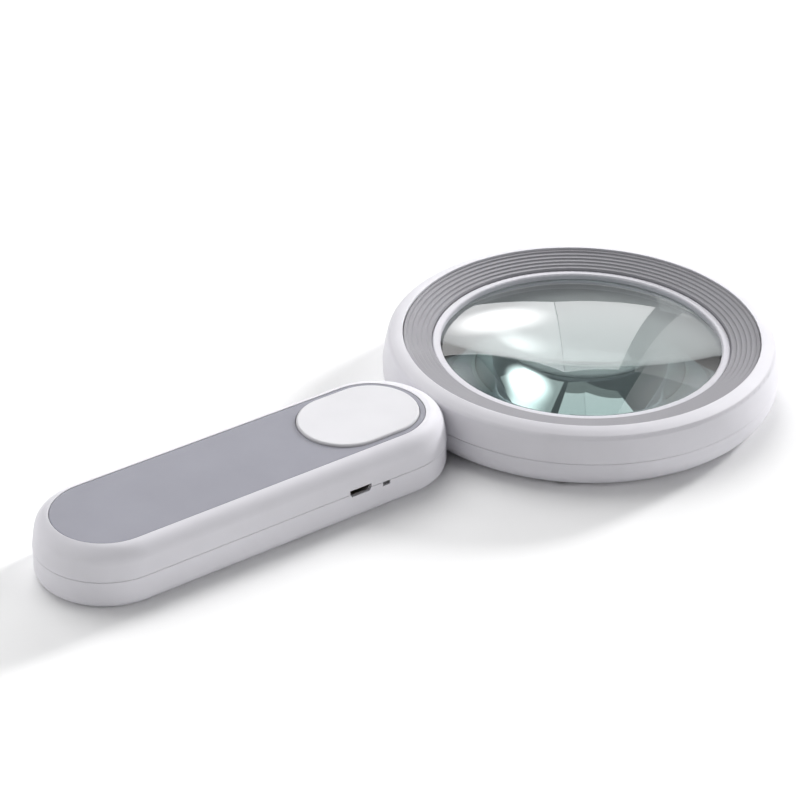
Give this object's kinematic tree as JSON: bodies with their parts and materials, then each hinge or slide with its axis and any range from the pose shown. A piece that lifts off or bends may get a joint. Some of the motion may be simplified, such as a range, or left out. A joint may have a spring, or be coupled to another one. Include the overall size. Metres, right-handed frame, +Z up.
{
  "type": "low vision magnifier",
  "caption": "Handheld reading magnifier with a large round lens, a lighted underside, a flat round-ended handle, a push button and a charging port.",
  "frame": {"origin": "middle of the footprint's bounding box, on the surface that the magnifier lies on", "axes": "+X along the handle towards the lens, +Z up through the lens towards the eye, -Y the side with the charging port"},
  "size_m": [0.24, 0.116, 0.0187],
  "materials": {
    "shell_white": "satin white moulded plastic with a very fine texture",
    "trim_grey": "satin grey moulded plastic",
    "inlay_grey": "matte grey plastic with a fine grain",
    "bezel_white": "semi-gloss white plastic",
    "button_white": "satin white plastic",
    "lens_glass": "polished clear glass with a faint green edge",
    "frosted_plastic": "frosted translucent plastic",
    "gasket_clear": "translucent silicone",
    "circuit_green": "solder-masked laminate",
    "led_phosphor": "phosphor-coated chips",
    "chip_black": "moulded epoxy",
    "part_tan": "ceramic",
    "screw_steel": "zinc-plated steel",
    "port_steel": "nickel-plated steel",
    "contact_gold": "gold-plated",
    "battery_wrap": "shrink wrap",
    "pad_foam": "closed-cell foam",
    "lead_red": "soft insulation",
    "lead_black": "soft insulation",
    "connector_cream": "moulded nylon",
    "window_clear": "clear light pipe",
    "switch_black": "moulded nylon"
  },
  "bodies": {
    "housing": {"top_shell": "shell_white", "bottom_shell": "shell_white", "trim_ring": "trim_grey", "lens_bezel": "bezel_white", "main_lens": "lens_glass", "lens_gasket": "gasket_clear", "diffuser_ring": "frosted_plastic", "led_board": "circuit_green", "led_chips": "led_phosphor", "handle_inlay": "inlay_grey", "switch_body": "switch_black", "control_board": "circuit_green", "board_chips": "chip_black", "board_passives": "part_tan", "usb_shell": "port_steel", "usb_tongue": "chip_black", "usb_contacts": "contact_gold", "charge_led": "led_phosphor", "light_window": "window_clear", "battery_pad": "pad_foam", "battery_cell": "battery_wrap", "battery_socket": "connector_cream", "battery_plug": "connector_cream", "battery_lead_red": "lead_red", "battery_lead_black": "lead_black", "led_lead_red": "lead_red", "led_lead_black": "lead_black", "shell_screws": "screw_steel", "led_board_screws": "screw_steel", "control_board_screws": "screw_steel"},
    "button": {"button_cap": "button_white"},
    "stem": {"switch_stem": "switch_black"}
  },
  "joints": [
    {"name": "button_press", "type": "slide", "parent": "housing", "child": "button", "axis": [0, 0, -1], "range_m": [0, 0.0005], "stiffness_N_per_m": 3000},
    {"name": "stem_press", "type": "slide", "parent": "housing", "child": "stem", "axis": [0, 0, -1], "range_m": [0, 0.0005]}
  ],
  "couplings": [
    {"joint": "stem_press", "follows": "button_press", "ratio": 1}
  ]
}
